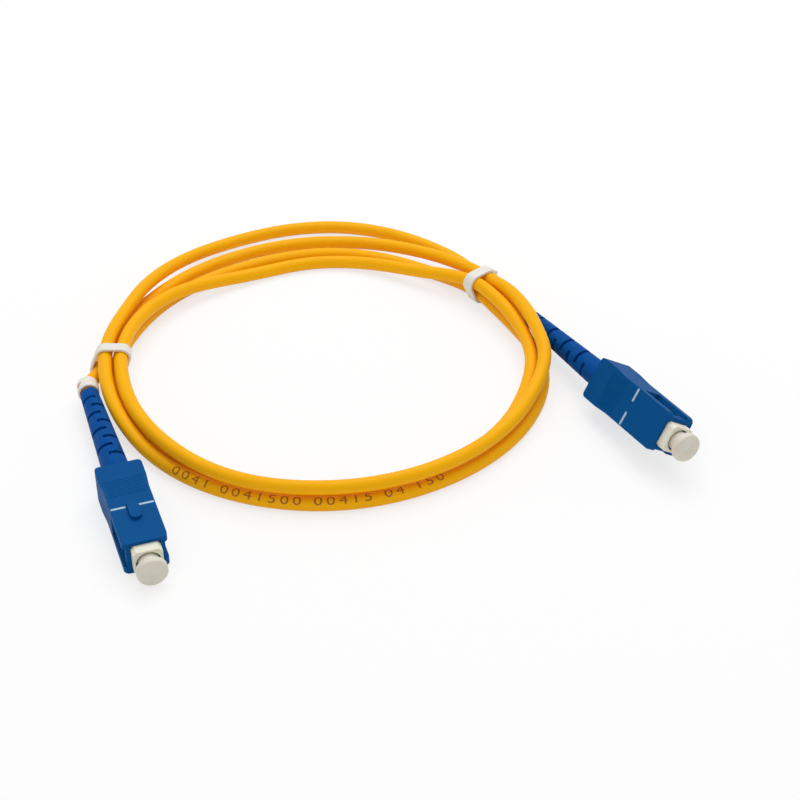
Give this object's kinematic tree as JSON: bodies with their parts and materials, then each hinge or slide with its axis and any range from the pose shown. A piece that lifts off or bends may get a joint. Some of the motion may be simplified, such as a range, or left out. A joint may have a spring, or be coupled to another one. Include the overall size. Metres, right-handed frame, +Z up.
{
  "type": "fiber optic patch cord",
  "caption": "Coiled simplex fiber optic patch cord, tied in a round coil, with a push-pull SC plug, a ribbed bend boot and a dust cap at each end.",
  "frame": {"origin": "on the table, under the middle of connector A's outer housing, on that housing's lower broad face", "axes": "+Z up from the table; -Y the way connector A points, out of its plug; the coil lies towards +X and +Y"},
  "size_m": [0.119, 0.1216, 0.0137],
  "materials": {
    "jacket_yellow": "satin",
    "housing_blue": "satin, moulded",
    "boot_blue": "soft satin",
    "frame_cream": "satin, moulded",
    "cap_cream": "soft, slightly clear",
    "tie_white": "matte",
    "zirconia": "polished ceramic",
    "nickel": "nickel plated",
    "spring_steel": "bright wire",
    "buffer_cream": "satin"
  },
  "bodies": {
    "cord_set": {"cord_lead_a": "jacket_yellow", "cord_coil": "jacket_yellow", "cord_lead_b": "jacket_yellow", "tie_left": "tie_white", "tie_right": "tie_white", "marker_ring": "tie_white", "plug_frame_a": "frame_cream", "stop_ring_a": "nickel", "crimp_ring_a": "nickel", "boot_a": "boot_blue", "buffer_a": "buffer_cream", "spring_a": "spring_steel", "plug_frame_b": "frame_cream", "stop_ring_b": "nickel", "crimp_ring_b": "nickel", "boot_b": "boot_blue", "buffer_b": "buffer_cream", "spring_b": "spring_steel"},
    "housing_a": {"outer_housing_a": "housing_blue"},
    "ferrule_a": {"ferrule_a": "zirconia", "ferrule_flange_a": "nickel"},
    "dust_cap_a": {"dust_cap_a": "cap_cream"},
    "housing_b": {"outer_housing_b": "housing_blue"},
    "ferrule_b": {"ferrule_b": "zirconia", "ferrule_flange_b": "nickel"},
    "dust_cap_b": {"dust_cap_b": "cap_cream"}
  },
  "joints": [
    {"name": "housing_slide_a", "type": "slide", "parent": "cord_set", "child": "housing_a", "axis": [0, 1, 0], "range_m": [0, 0.0015]},
    {"name": "ferrule_slide_a", "type": "slide", "parent": "cord_set", "child": "ferrule_a", "axis": [0, 1, 0], "range_m": [0, 0.001], "stiffness_N_per_m": 300, "springref_m": -0.001, "deforming": ["spring_a"]},
    {"name": "cap_pull_a", "type": "slide", "parent": "cord_set", "child": "dust_cap_a", "axis": [0, -1, 0], "range_m": [0, 0.015]},
    {"name": "housing_slide_b", "type": "slide", "parent": "cord_set", "child": "housing_b", "axis": [-0.1457, 0.9869, -0.0698], "range_m": [0, 0.0015]},
    {"name": "ferrule_slide_b", "type": "slide", "parent": "cord_set", "child": "ferrule_b", "axis": [-0.1457, 0.9869, -0.0698], "range_m": [0, 0.001], "stiffness_N_per_m": 300, "springref_m": -0.001, "deforming": ["spring_b"]},
    {"name": "cap_pull_b", "type": "slide", "parent": "cord_set", "child": "dust_cap_b", "axis": [0.1457, -0.9869, 0.0698], "range_m": [0, 0.015]}
  ]
}
